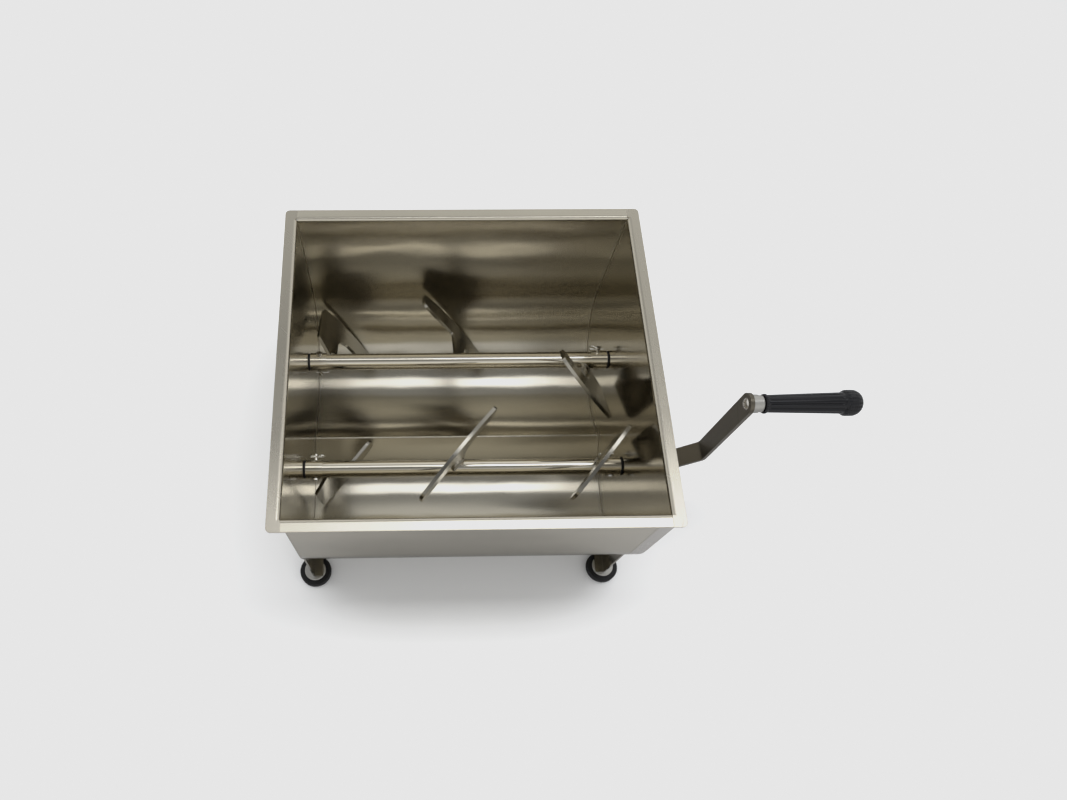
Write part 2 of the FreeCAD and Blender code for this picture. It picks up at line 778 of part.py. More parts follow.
def grip_flute_cutters():
    """Rods with round ends that cut the lengthwise flutes of the taper."""
    length = grip_taper + knob_shoulder
    slope = (grip_end - grip_start) / 2 / length
    radius = (flute_width ** 2 / 4 + flute_depth ** 2) / (2 * flute_depth)
    ends = []
    for along in (grip_collar_length + flute_end, grip_taper - flute_end):
        away = grip_start / 2 + slope * along + radius - flute_depth
        ends.append(Vector(grip_x + along, front_y, grip_z + away))
    run = ends[1] - ends[0]
    cutter = Part.makeCylinder(radius, run.Length, ends[0], run)
    cutter = cutter.fuse(Part.makeSphere(radius, ends[0])).fuse(Part.makeSphere(radius, ends[1]))
    cutters = []
    for i in range(grip_flutes):
        flute = cutter.copy()
        flute.rotate(Vector(0, front_y, grip_z), Vector(1, 0, 0), i * 360 / grip_flutes)
        cutters.append(flute)
    return cutters


def grip():
    """Fluted handle that widens to a knob, bored for its bolt and sunk for the bolt's head."""
    knob_x = grip_x + grip_taper
    knob = rod(knob_x, grip_tip_x, front_y, grip_z, knob_diameter)
    knob = knob.makeFillet(knob_shoulder, rims(knob, "X", knob_x))
    knob = knob.makeFillet(knob_nose, rims(knob, "X", grip_tip_x))
    collar = rod(grip_x, grip_x + grip_collar_length, front_y, grip_z, grip_collar)
    turned = grip_cone(grip_x, grip_taper + knob_shoulder).cut(grip_flute_cutters())
    turned = turned.fuse(collar).fuse(knob)
    turned = turned.cut(rod(grip_x - past, grip_tip_x, front_y, grip_z, grip_bolt + 2 * fit))
    recess = rod(head_seat, grip_tip_x + past, front_y, grip_z, 2 * recess_radius)
    return turned.cut(recess).removeSplitter()


def grip_spindle():
    """Bolt that the grip turns on, riveted over on the arm's inner face."""
    seat = head_seat + grip_play
    shank = rod(arm_top_x, seat, front_y, grip_z, grip_bolt)
    head = rod(seat, seat + grip_head_height, front_y, grip_z, grip_head)
    rivet_x = arm_top_x - rivet_height
    dome_radius = (rivet_head ** 2 / 4 + rivet_height ** 2) / (2 * rivet_height)
    dome = Part.makeSphere(dome_radius, Vector(rivet_x + dome_radius, front_y, grip_z))
    dome = dome.common(rod(rivet_x - past, arm_top_x, front_y, grip_z, 2 * rivet_head))
    dome = dome.cut(rod(rivet_x - past, rivet_x + rivet_dimple_depth, front_y, grip_z, rivet_dimple))
    return shank.fuse(head).fuse(dome)


# Write every piece

os.makedirs("parts", exist_ok=True)

save("trough", trough())

left_plate = end_plate(-1, outer_boss)
save("left_end_plate", left_plate)

right_plate = end_plate(1, inner_boss)
for screw_y, screw_z in case_screw_places():
    right_plate = right_plate.fuse(rod(plate_out, case_in, screw_y, screw_z, standoff))
    right_plate = right_plate.cut(rod(plate_out, case_in + past, screw_y, screw_z, case_screw))
save("right_end_plate", right_plate.removeSplitter())

save("gear_case", gear_case())
for number, (screw_y, screw_z) in enumerate(case_screw_places(), 1):
    bolt = rod(plate_out, case_out, screw_y, screw_z, case_screw)
    bolt = bolt.fuse(rod(case_out, case_out + case_head_height, screw_y, screw_z, case_head))
    save("case_screw_" + str(number), bolt)

for foot_name, foot_x, foot_y in foot_places():
    save(foot_name + "_foot_disc", foot_disc(foot_x, foot_y))
    save(foot_name + "_rubber_foot", rubber_foot(foot_x, foot_y))
    save(foot_name + "_foot_screw", foot_bolt(foot_x, foot_y))

for shaft_name, y_shaft in SHAFTS:
    save(shaft_name + "_shaft_tube", shaft_tube(shaft_name, y_shaft))
    save(shaft_name + "_geared_axle", geared_axle(shaft_name, y_shaft))
    save(shaft_name + "_headed_axle", headed_axle(shaft_name, y_shaft))
    save(shaft_name + "_left_bush", bush(y_shaft, -lip_x, -half_length, -boss_tip_x))
    save(shaft_name + "_right_bush", bush(y_shaft, lip_x, half_length, plate_out + inner_boss))
    save(shaft_name + "_case_bush", bush(y_shaft, case_lip_x + bush_lip, case_lip_x, case_in))
    save(shaft_name + "_gear_key", gear_key(y_shaft))
    for side_name, x_side in SIDES:
        flip = -1 if (shaft_name, side_name) == ("back", "left") else 1
        save(shaft_name + "_" + side_name + "_pin", cross_pin(shaft_name, y_shaft, x_side, flip))
        save(shaft_name + "_" + side_name + "_clip", spring_clip(shaft_name, y_shaft, x_side, flip))

save("front_gear", gear(front_y, 0))
save("back_gear", gear(back_y, 0.5))
save("back_retaining_ring", retaining_ring(back_y))

middle_flat = flat_paddle(*middle_outline())
end_flat = flat_paddle(*end_outline())
save("front_middle_paddle", paddle(front_y, front_station, front_angle, 1, middle_flat))
save("front_right_paddle", paddle(front_y, end_station, front_angle, 1, end_flat))
save("front_left_paddle", paddle(front_y, -end_station, front_angle + 180, -1, end_flat))
save("back_middle_paddle", paddle(back_y, back_station, back_angle, 1, middle_flat))
save("back_left_paddle", paddle(back_y, -end_station, back_angle, 1, end_flat))
save("back_right_paddle", paddle(back_y, end_station, back_angle + 180, -1, end_flat))

save("crank_hub", crank_hub())
save("crank_arm", crank_arm())
save("crank_washer", crank_washer())
save("crank_nut", crank_nut())
save("hub_grub_screw", hub_grub_screw())
save("grip_ferrule", grip_ferrule())
save("grip", grip())
save("grip_spindle", grip_spindle())
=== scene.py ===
# %% [markdown]
# # Hand-cranked meat mixer: looks
#
# The model that loads here is a stainless tub with two geared agitators and a crank. Its sheet
# metal, shafts, paddles and fasteners already have their real shapes, so this lesson gives them
# finishes, makes the few pieces whose surface is too fine for solid modelling, and lights the
# whole as a product on a pale floor.

import bpy
import numpy as np
from mathutils import Euler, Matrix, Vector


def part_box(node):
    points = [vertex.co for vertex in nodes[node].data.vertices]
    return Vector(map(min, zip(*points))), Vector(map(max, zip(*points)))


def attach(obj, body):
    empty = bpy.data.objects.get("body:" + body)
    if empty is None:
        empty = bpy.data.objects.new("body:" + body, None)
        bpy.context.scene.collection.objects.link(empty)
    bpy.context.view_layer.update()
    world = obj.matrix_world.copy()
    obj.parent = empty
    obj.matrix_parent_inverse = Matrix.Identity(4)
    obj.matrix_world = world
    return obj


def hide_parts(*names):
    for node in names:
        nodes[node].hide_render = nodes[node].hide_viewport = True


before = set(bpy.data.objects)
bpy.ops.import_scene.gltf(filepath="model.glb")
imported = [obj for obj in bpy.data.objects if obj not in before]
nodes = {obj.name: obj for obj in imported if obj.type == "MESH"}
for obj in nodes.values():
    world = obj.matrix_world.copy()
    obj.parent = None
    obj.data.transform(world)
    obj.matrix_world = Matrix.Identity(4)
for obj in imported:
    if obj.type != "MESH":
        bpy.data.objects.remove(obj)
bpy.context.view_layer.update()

# %% [markdown]
# ## Camera
#
# The picture is taken from above and in front of the tub, a little to its left, with a wide lens.
# A camera can be matched by eye, but a mixer has enough straight edges to work it out: the four
# corners of the rim, the two shafts, the ridge between the round bottoms and the feet were
# matched all together, and their mean error is under half a pixel. The optical centre is not the
# middle of the picture, so the lens is shifted by that much.

# %% Camera
picture_width = 1067
picture_height = 800
focal_pixels = 733.2
optical_centre = (423.6, 446.8)
camera_place = (-0.1507, -0.3759, 0.9568)
camera_turn_degrees = (22.122, -0.849, -1.036)      # from looking straight down

camera_data = bpy.data.cameras.new("camera")
camera_data.sensor_width = 36.0
camera_data.lens = focal_pixels * camera_data.sensor_width / picture_width
camera_data.shift_x = (picture_width / 2 - optical_centre[0]) / picture_width
camera_data.shift_y = (optical_centre[1] - picture_height / 2) / picture_width
camera_data.clip_end = 20.0
camera = bpy.data.objects.new("camera", camera_data)
camera.location = camera_place
camera.rotation_euler = Euler(np.radians(camera_turn_degrees))
bpy.context.scene.collection.objects.link(camera)
bpy.context.scene.camera = camera
print("lens", round(camera_data.lens, 2), "mm")
print("shifts", round(camera_data.shift_x, 4), round(camera_data.shift_y, 4))

# %% [markdown]
# ## Light
#
# Bright metal shows its surroundings and little else, so they matter more than the lamps. The
# broad highlights in the round bottoms and on the front rim are the mirror image of one softbox.
# Tracing the rays from the camera over the metal and up again puts it 1.5 m above the tub, a
# little behind its middle, long from side to side and brighter to the right. All else in the
# metal is the room: white walls, and a ceiling that gets darker towards a place straight above.
# Light that has been back and forth between the tub's walls three times takes on the warm colour
# of the steel, which is what makes the inside so much darker and browner than the rim.
#
# The floor gets its soft shadow from a second, wider lamp. Bare metal would show a lamp of that
# strength as a second highlight, which isn't there, so it only lights and is left out of
# reflections. Last, the picture has one tone for all that is very bright, the floor and the
# highlights alike, which a curve with a flat top gives.

# %% Tones
white = 0.792
straight_until = 0.70       # brightness below which the curve changes nothing
white_from = 0.86
view = bpy.context.scene.view_settings
view.view_transform = "Standard"
view.use_curve_mapping = True
tones = view.curve_mapping.curves[3]
tones.points.new(straight_until, straight_until)
tones.points.new(white_from, white)
tones.points[-1].location = (1.0, white)
for point in tones.points:
    point.handle_type = "VECTOR"
view.curve_mapping.update()
print("brightest tone", white)

# %% Lamps
# name, size, place and radiance: the left end of the softbox is dimmer than the rest
softboxes = (
    ("softbox_left", (0.70, 0.40), (-0.40, 0.20, 1.80), 1.3),
    ("softbox_right", (1.05, 0.40), (0.475, 0.20, 1.80), 2.6),
)
softbox_colour = (0.98, 1.0, 1.05)
fill_size = (1.7, 0.35)
fill_place = (-0.08, 0.05, 1.80)
fill_radiance = 10.0
fill_colour = (1.0, 1.0, 1.0)


def lamp(name, size, place, radiance, colour):
    """Rectangular lamp that looks straight down."""
    data = bpy.data.lights.new(name, "AREA")
    data.color = colour
    data.shape = "RECTANGLE"
    data.size, data.size_y = size
    # an area lamp of one watt has a radiance of one over pi times its area
    data.energy = radiance * np.pi * size[0] * size[1]
    placed = bpy.data.objects.new(name, data)
    placed.location = place
    bpy.context.scene.collection.objects.link(placed)
    print(name, "of", round(data.energy, 2), "W")
    return placed


for name, size, place, radiance in softboxes:
    lamp(name, size, place, radiance, softbox_colour)
fill = lamp("fill", fill_size, fill_place, fill_radiance, fill_colour)
fill.visible_glossy = False


# %% Node helpers
def set_values(node, **values):
    """Sets properties, or inputs whose names are given with underscores for spaces."""
    for key, value in values.items():
        label = key.replace("_", " ")
        if label in node.inputs:
            node.inputs[label].default_value = value
        else:
            setattr(node, key, value)


def add_node(tree, kind, **values):
    """New node with some of its values set."""
    node = tree.nodes.new("ShaderNode" + kind)
    set_values(node, **values)
    return node


def link(tree, *pairs):
    """Links (output socket, input socket) pairs."""
    for start, end in pairs:
        tree.links.new(start, end)


# %% Room
# brightness of the room by height, from the horizon at 0 to the darkest way at 1
room_colours = (
    (0.15, (0.95, 0.95, 0.95)),
    (0.55, (0.92, 0.93, 0.94)),
    (0.78, (0.67, 0.68, 0.69)),
    (0.90, (0.34, 0.347, 0.358)),
    (1.00, (0.19, 0.194, 0.20)),
)
darkest_way = (-0.10, 0.0, 1.0)

room = bpy.data.worlds.new("room")
room.use_nodes = True
room.node_tree.nodes.clear()
direction = add_node(room.node_tree, "TexCoord")
height = add_node(room.node_tree, "VectorMath", operation="DOT_PRODUCT")
height.inputs[1].default_value = darkest_way
ramp = add_node(room.node_tree, "ValToRGB")
stops = ramp.color_ramp.elements
for end, (position, colour) in zip((0, 1), (room_colours[0], room_colours[-1])):
    stops[end].position = position
    stops[end].color = (*colour, 1)
for position, colour in room_colours[1:-1]:
    stops.new(position).color = (*colour, 1)
glow = add_node(room.node_tree, "Background")
room_out = add_node(room.node_tree, "OutputWorld")
link(
    room.node_tree,
    (direction.outputs["Generated"], height.inputs[0]),
    (height.outputs["Value"], ramp.inputs[0]),
    (ramp.outputs[0], glow.inputs["Color"]),
    (glow.outputs[0], room_out.inputs[0]),
)
bpy.context.scene.world = room
print("room of", len(stops), "tones")

# %% [markdown]
# ## Surfaces from numpy
#
# The new pieces are all made the same way. A shape is a grid of points, one row for each step
# along a profile or a path and one column for each step around it. The grid is worked out at once
# as an array, and its faces follow from the row and column numbers, so no loop visits a point.

# %% Grid to mesh
def grid_mesh(name, points, close_rows=True):
    """
    Mesh of a grid of points (rows, columns, 3). Corner (i, j) joins (i, j + 1), (i + 1, j + 1)
    and (i + 1, j). The last column joins the first, and so does the last row, or else the first
    and the last row each get a face that closes them.
    """
    rows, columns = points.shape[:2]
    i, j = np.meshgrid(np.arange(rows if close_rows else rows - 1), np.arange(columns), indexing="ij")
    below = (i + 1) % rows
    beside = (j + 1) % columns
    corners = (i * columns + j, i * columns + beside, below * columns + beside, below * columns + j)
    faces = np.stack(corners, axis=-1).reshape(-1, 4).tolist()
    if not close_rows:
        faces.append(list(range(columns - 1, -1, -1)))
        faces.append(list(range((rows - 1) * columns, rows * columns)))
    mesh = bpy.data.meshes.new(name)
    mesh.from_pydata(points.reshape(-1, 3), [], faces)
    mesh.polygons.foreach_set("use_smooth", np.ones(len(faces), dtype=bool))
    mesh.update()
    return mesh


def add_piece(name, mesh, body, material):
    """Puts a mesh in the scene as a piece of a body, with its finish."""
    piece = bpy.data.objects.new(name, mesh)
    bpy.context.scene.collection.objects.link(piece)
    mesh.materials.append(material)
    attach(piece, body)
    print(name, "has", len(mesh.polygons), "faces")
    return piece


def resample(profile, spacing):
    """Points at about an even spacing along a polyline (n, 2), its corners kept, the end left out."""
    runs = np.diff(profile, axis=0)
    steps = np.maximum(1, np.ceil(np.hypot(*runs.T) / spacing)).astype(int)
    run = np.repeat(np.arange(len(runs)), steps)
    share = (np.arange(steps.sum()) - np.repeat(np.cumsum(steps) - steps, steps)) / steps[run]
    return profile[:-1][run] + runs[run] * share[:, None]


# %% [markdown]
# ## Material parts that several finishes share
#
# Rolled, ground and polished steel differ in amount, not in kind: all have a slight waviness,
# fine lines in one direction, and slow, cloudy changes in gloss where hands and cloths have been.
# So the surface, the clouds and the scratches are each a node group, made once and given other
# numbers in each metal. The groups only put out values and normals; the shader itself stays in
# the material.

# %% Node groups
def group_tree(name, inputs, outputs):
    """Empty node group with its sockets: inputs of (name, type, default), outputs of (name, type)."""
    tree = bpy.data.node_groups.new(name, "ShaderNodeTree")
    for label, kind, value in inputs:
        socket = tree.interface.new_socket(label, in_out="INPUT", socket_type="NodeSocket" + kind)
        socket.default_value = value
    for label, kind in outputs:
        tree.interface.new_socket(label, in_out="OUTPUT", socket_type="NodeSocket" + kind)
    return tree, tree.nodes.new("NodeGroupInput"), tree.nodes.new("NodeGroupOutput")


# %% Surface: soft edges, slow waves and fine lines
surface, surface_in, surface_out = group_tree(
    "surface",
    [("Edge", "Float", 0.0003), ("Wave scale", "Vector", (3.0, 14.0, 14.0)), ("Wave", "Float", 0.3),
     ("Line scale", "Vector", (10.0, 1200.0, 1200.0)), ("Depth", "Float", 0.1),
     ("Gloss", "Float", 0.2), ("Gloss spread", "Float", 0.1)],
    [("Roughness", "Float"), ("Normal", "Vector")],
)
place = add_node(surface, "TexCoord")
edge = add_node(surface, "Bevel", samples=4)
wave_place = add_node(surface, "VectorMath", operation="MULTIPLY")
waves = add_node(surface, "TexNoise", Scale=1.0, Detail=1.5, Roughness=0.4)
wave_bump = add_node(surface, "Bump", Distance=0.004)
line_place = add_node(surface, "VectorMath", operation="MULTIPLY")
lines = add_node(surface, "TexNoise", Scale=1.0, Detail=3.0, Roughness=0.6)
centred = add_node(surface, "Math", operation="SUBTRACT")
centred.inputs[1].default_value = 0.5
spread = add_node(surface, "Math", operation="MULTIPLY_ADD")
line_bump = add_node(surface, "Bump", Distance=0.0002)
link(
    surface,
    (surface_in.outputs["Edge"], edge.inputs["Radius"]),
    (place.outputs["Object"], wave_place.inputs[0]),
    (surface_in.outputs["Wave scale"], wave_place.inputs[1]),
    (wave_place.outputs[0], waves.inputs["Vector"]),
    (waves.outputs[0], wave_bump.inputs["Height"]),
    (surface_in.outputs["Wave"], wave_bump.inputs["Strength"]),
    (edge.outputs[0], wave_bump.inputs["Normal"]),
    (place.outputs["Object"], line_place.inputs[0]),
    (surface_in.outputs["Line scale"], line_place.inputs[1]),
    (line_place.outputs[0], lines.inputs["Vector"]),
    (lines.outputs[0], centred.inputs[0]),
    (centred.outputs[0], spread.inputs[0]),
    (surface_in.outputs["Gloss spread"], spread.inputs[1]),
    (surface_in.outputs["Gloss"], spread.inputs[2]),
    (spread.outputs[0], surface_out.inputs["Roughness"]),
    (lines.outputs[0], line_bump.inputs["Height"]),
    (surface_in.outputs["Depth"], line_bump.inputs["Strength"]),
    (wave_bump.outputs[0], line_bump.inputs["Normal"]),
    (line_bump.outputs[0], surface_out.inputs["Normal"]),
)
print("surface group:", len(surface.nodes), "nodes")

# %% Handling: clouds of duller metal
handling, handling_in, handling_out = group_tree(
    "handling",
    [("Size", "Float", 6.0), ("Amount", "Float", 0.08), ("Roughness", "Float", 0.2)],
    [("Roughness", "Float")],
)
place = add_node(handling, "TexCoord")
clouds = add_node(handling, "TexNoise", Detail=5.0, Roughness=0.65)
edges = add_node(handling, "MapRange", From_Min=0.4, From_Max=0.7)
dull = add_node(handling, "Math", operation="MULTIPLY_ADD")
link(
    handling,
    (place.outputs["Object"], clouds.inputs["Vector"]),
    (handling_in.outputs["Size"], clouds.inputs["Scale"]),
    (clouds.outputs[0], edges.inputs["Value"]),
    (edges.outputs[0], dull.inputs[0]),
    (handling_in.outputs["Amount"], dull.inputs[1]),
    (handling_in.outputs["Roughness"], dull.inputs[2]),
    (dull.outputs[0], handling_out.inputs["Roughness"]),
)
print("handling group:", len(handling.nodes), "nodes")

# %% Scratches: a few hair lines at two angles
hair_turns = ((0.3, 0.5, 0.9), (1.1, 0.2, 2.3))
hair_stretch = (1.0, 30.0, 1.0)

scratches, scratches_in, scratches_out = group_tree(
    "scratches",
    [("Density", "Float", 14.0), ("Amount", "Float", 0.2), ("Roughness", "Float", 0.2)],
    [("Roughness", "Float")],
)
place = add_node(scratches, "TexCoord")
total = scratches_in.outputs["Roughness"]
for turn in hair_turns:
    turned = add_node(scratches, "VectorRotate", rotation_type="EULER_XYZ", Rotation=turn)
    thin = add_node(scratches, "VectorMath", operation="MULTIPLY")
    thin.inputs[1].default_value = hair_stretch
    noise = add_node(scratches, "TexNoise", Detail=1.0, Roughness=0.5)
    hair = add_node(scratches, "MapRange", From_Min=0.71, From_Max=0.74)
    added = add_node(scratches, "Math", operation="MULTIPLY_ADD")
    link(
        scratches,
        (place.outputs["Object"], turned.inputs["Vector"]),
        (turned.outputs[0], thin.inputs[0]),
        (thin.outputs[0], noise.inputs["Vector"]),
        (scratches_in.outputs["Density"], noise.inputs["Scale"]),
        (noise.outputs[0], hair.inputs["Value"]),
        (hair.outputs[0], added.inputs[0]),
        (scratches_in.outputs["Amount"], added.inputs[1]),
        (total, added.inputs[2]),
    )
    total = added.outputs[0]
link(scratches, (total, scratches_out.inputs["Roughness"]))
print("scratches group:", len(scratches.nodes), "nodes")

# %% [markdown]
# ## Steel finishes
#
# Steel could be one grey with a fixed gloss, and then the whole machine would look cast from one
# lump. Each kind of stock here has its own finish: the trough is rolled sheet, softly reflecting;
# the end walls are polished almost to mirrors; shafts are drawn bright tube; the paddles are cut
# from plate and ground by hand. One function makes them all, with the colour, the gloss and the
# scale of the lines and waves as its numbers.

# %% Steel
even_grain = (400.0, 400.0, 400.0)


def start_material(name, **values):
    """New material and its Principled shader, with some of the shader's values set."""
    material = bpy.data.materials.new(name)
    material.use_nodes = True
    shader = material.node_tree.nodes["Principled BSDF"]
    set_values(shader, **values)
    return material, shader


def steel(name, colour, gloss, spread=0.08, depth=0.1, lines=(8.0, 900.0, 900.0), wave=0.2,
          wave_scale=(6.0, 9.0, 9.0), clouds=0.06, cloud_size=7.0, scratched=0.1, edge=0.0003):
    """Bare steel: a surface with lines and waves, dulled by handling and scratches."""
    material, shader = start_material(name, Base_Color=(*colour, 1), Metallic=1.0)
    tree = material.node_tree
    lined = add_node(
        tree, "Group", node_tree=surface, Edge=edge, Wave_scale=wave_scale, Wave=wave,
        Line_scale=lines, Depth=depth, Gloss=gloss, Gloss_spread=spread,
    )
    clouded = add_node(tree, "Group", node_tree=handling, Size=cloud_size, Amount=clouds)
    marked = add_node(tree, "Group", node_tree=scratches, Amount=scratched)
    link(
        tree,
        (lined.outputs["Roughness"], clouded.inputs["Roughness"]),
        (clouded.outputs["Roughness"], marked.inputs["Roughness"]),
        (marked.outputs["Roughness"], shader.inputs["Roughness"]),
        (lined.outputs["Normal"], shader.inputs["Normal"]),
    )
    return material


case_sheet = steel(
    "case_sheet", (0.60, 0.575, 0.53), 0.24, wave=0.05, lines=(900.0, 900.0, 8.0), scratched=0.02,
)
bright_tube = steel(
    "bright_tube", (0.67, 0.622, 0.515), 0.11, lines=(500.0, 500.0, 500.0), wave=0.0, clouds=0.05,
    scratched=0.04,
)
ground_plate = steel(
    "ground_plate", (0.33, 0.31, 0.262), 0.17, depth=0.2, lines=(300.0, 300.0, 60.0), wave=0.03,
    edge=0.0005, scratched=0.06,
)
plain_steel = steel("plain_steel", (0.60, 0.575, 0.53), 0.22, lines=even_grain, wave=0.0)
dark_bar = steel(
    "dark_bar", (0.135, 0.121, 0.094), 0.3, lines=(700.0, 700.0, 20.0), depth=0.15, wave=0.02,
    edge=0.0005,
)
bright_zinc = steel("bright_zinc", (0.43, 0.42, 0.39), 0.4, lines=(600.0, 600.0, 600.0), wave=0.0)
clip_wire = steel("clip_wire", (0.86, 0.85, 0.80), 0.2, lines=even_grain, wave=0.0)
weld_steel = steel("weld_steel", (0.40, 0.37, 0.31), 0.3, lines=even_grain, wave=0.0, edge=0.0002)
seam_steel = steel("seam_steel", (0.40, 0.365, 0.29), 0.35, lines=even_grain, wave=0.0, edge=0.0002)
cut_gears = steel("cut_gears", (0.30, 0.29, 0.28), 0.34, lines=even_grain, wave=0.0)
print("dull gears", cut_gears.name, "and bright shafts", bright_tube.name)

# %% [markdown]
# ## Trough and end plates
#
# The two big sheets need more than the function gives. The trough is brushed, which smears all
# that it reflects along the tub. That could be drawn as streaks, but they would not move with the
# viewer as reflections do, so its shader is anisotropic instead, with a tangent in the shafts'
# direction. The end plates are less shiny on top of their rims, where trays and hands rub, and
# their legs get painted shade: their colour gets darker towards the feet. Both follow from the
# height of a point alone.

# %% Trough: brushed along the tub
rolled_sheet = steel(
    "rolled_sheet", (0.555, 0.518, 0.428), 0.22, spread=0.05, wave=0.35, wave_scale=(8.0, 16.0, 16.0),
    depth=0.03, clouds=0.04, scratched=0.0, edge=0.0012,
)
brushed_shader = rolled_sheet.node_tree.nodes["Principled BSDF"]
set_values(brushed_shader, Anisotropic=0.94)
along_shafts = add_node(rolled_sheet.node_tree, "CombineXYZ", X=1.0)
link(rolled_sheet.node_tree, (along_shafts.outputs[0], brushed_shader.inputs["Tangent"]))
print("trough finish:", len(rolled_sheet.node_tree.nodes), "nodes")

# %% End plates: satin rims and painted shade on the legs
plate_colour = (0.49, 0.455, 0.378)
rim_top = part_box("left_end_plate")[1][2]
rim_sheet = 0.0022          # the sheet's thickness and a little more
rim_satin = 0.12            # added to the roughness on the rims
# painted shade on the legs: below these heights the plates' colour is darker
shade_darkest_below = 0.030          # height up to which the legs are darkest
shade_ends_above = 0.055
leg_shade_tone = 0.32             # share of the colour that is left at the feet

polished_sheet = steel(
    "polished_sheet", plate_colour, 0.13, spread=0.05, depth=0.05, wave=0.05,
    lines=(900.0, 8.0, 900.0), scratched=0.04,
)
plate_tree = polished_sheet.node_tree
plate_shader = plate_tree.nodes["Principled BSDF"]
plate_gloss = plate_shader.inputs["Roughness"].links[0].from_socket
place = add_node(plate_tree, "TexCoord")
axes = add_node(plate_tree, "SeparateXYZ")
on_rim = add_node(plate_tree, "Math", operation="GREATER_THAN")
on_rim.inputs[1].default_value = rim_top - rim_sheet
satin = add_node(plate_tree, "Math", operation="MULTIPLY_ADD")
satin.inputs[1].default_value = rim_satin
# painted shade: the plates' colour is scaled down towards the feet, darkest at the bottom
leg_shade = add_node(plate_tree, "MapRange", From_Min=shade_darkest_below, From_Max=shade_ends_above, To_Min=leg_shade_tone)
shaded = add_node(plate_tree, "VectorMath", operation="SCALE")
shaded.inputs[0].default_value = plate_colour
link(
    plate_tree,
    (place.outputs["Object"], axes.inputs[0]),
    (axes.outputs["Z"], on_rim.inputs[0]),
    (on_rim.outputs[0], satin.inputs[0]),
    (plate_gloss, satin.inputs[2]),
    (satin.outputs[0], plate_shader.inputs["Roughness"]),
    (axes.outputs["Z"], leg_shade.inputs["Value"]),
    (leg_shade.outputs[0], shaded.inputs["Scale"]),
    (shaded.outputs[0], plate_shader.inputs["Base Color"]),
)
print("end plate finish:", len(plate_tree.nodes), "nodes")

# %% [markdown]
# ## Rubber, nylon and the grip's plastic
#
# The blacks differ in gloss. Moulded phenolic plastic on the grip is glossy; the nylon bushes have
# a satin sheen; rubber feet are dull and slightly grainy. A plain black would hide all of that, so
# they share the groups of the steels, with an even grain in place of lines.

# %% Black plastics and rubber
def black(name, colour, gloss, grain_size, depth, spread=0.1, clouds=0.12):
    """Black moulded material: a fine even grain, with clouds of handling over it."""
    material, shader = start_material(name, Base_Color=(*colour, 1), Specular_IOR_Level=0.35)
    tree = material.node_tree
    lined = add_node(
        tree, "Group", node_tree=surface, Wave=0.0, Line_scale=(grain_size, grain_size, grain_size),
        Depth=depth, Gloss=gloss, Gloss_spread=spread,
    )
    clouded = add_node(tree, "Group", node_tree=handling, Size=40.0, Amount=clouds)
    link(
        tree,
        (lined.outputs["Roughness"], clouded.inputs["Roughness"]),
        (clouded.outputs["Roughness"], shader.inputs["Roughness"]),
        (lined.outputs["Normal"], shader.inputs["Normal"]),
    )
    return material


phenolic = black("phenolic", (0.002, 0.002, 0.003), 0.1, 900.0, 0.03, spread=0.03, clouds=0.04)
nylon = black("nylon", (0.012, 0.012, 0.013), 0.42, 1500.0, 0.1)
foot_rubber = black("foot_rubber", (0.005, 0.005, 0.0055), 0.5, 1800.0, 0.25)
print("black materials:", phenolic.name, nylon.name, foot_rubber.name)

# %% [markdown]
# ## Finishes onto the pieces
#
# Every solid came with a slot that names its stock, so one table gives all of them their finish.
# Only the spring clips differ from their slot: they are bent from bright wire.

# %% Dress the solids
finishes = {
    "trough": rolled_sheet,
    "end_plates": polished_sheet,
    "gear_case": case_sheet,
    "shafts": bright_tube,
    "paddles": ground_plate,
    "steel": plain_steel,
    "gears": cut_gears,
    "zinc": bright_zinc,
    "crank_arm": dark_bar,
    "grip": phenolic,
    "bush": nylon,
    "rubber": foot_rubber,
}
for name, solid in nodes.items():
    for socket in solid.material_slots:
        socket.material = clip_wire if name.endswith("_clip") else finishes[socket.material.name]
print(len(nodes), "solids dressed")

# %% [markdown]
# ## Grip
#
# The handle is a moulded plastic grip with twelve lengthwise flutes, a ring of beads where it
# starts and a knob that is pitted all over, so that a greasy hand holds it. A turned solid with
# bumps in its material would keep a smooth outline, and the flutes show in the outline. So the
# grip is a surface whose radius is its turned profile, less the flutes, the beads and the pits.

# %% Grip sizes
collar_length = 0.003
collar_radius = 0.0098
collar_edge = 0.0004        # chamfer of the collar
taper_length = 0.078
taper_radii = (0.0088, 0.0107)
knob_length = 0.019
nose_round = 0.010
shoulder_round = 0.004
bore = 0.00405
recess = 0.0063             # of the hole in the knob's face, which shows the bolt's end
recess_depth = 0.007
flutes = 12
flute_depth = 0.0011
collar_gap_depth = 0.0007   # between the collar's beads
pit_depth = 0.0009
pit_columns = 10            # of each of the two families of spirals on the knob
pit_climb = 1400            # how fast the spirals turn along X
carved_from = 0.0082        # surface closer to the axis than this is smooth
pitted_from = 0.0075        # and the knob has pits out from here

grip_low, grip_high = (np.array(corner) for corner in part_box("grip"))
grip_axis = (grip_low + grip_high)[1:] / 2
grip_start = grip_low[0]
collar_end = grip_start + collar_length
knob_radius = (grip_high[2] - grip_low[2]) / 2
knob_start = grip_start + taper_length
knob_end = knob_start + knob_length
print("grip is", round((knob_end - grip_start) * 1000, 1), "mm long")


# %% Grip profile
def arc(middle_x, middle_radius, size, first, last):
    """Points (x, radius) of an arc, from one angle to another in degrees, with 0 along the radius."""
    turn = np.radians(np.linspace(first, last, 9))
    return np.stack([middle_x + size * np.sin(turn), middle_radius + size * np.cos(turn)], axis=1).tolist()


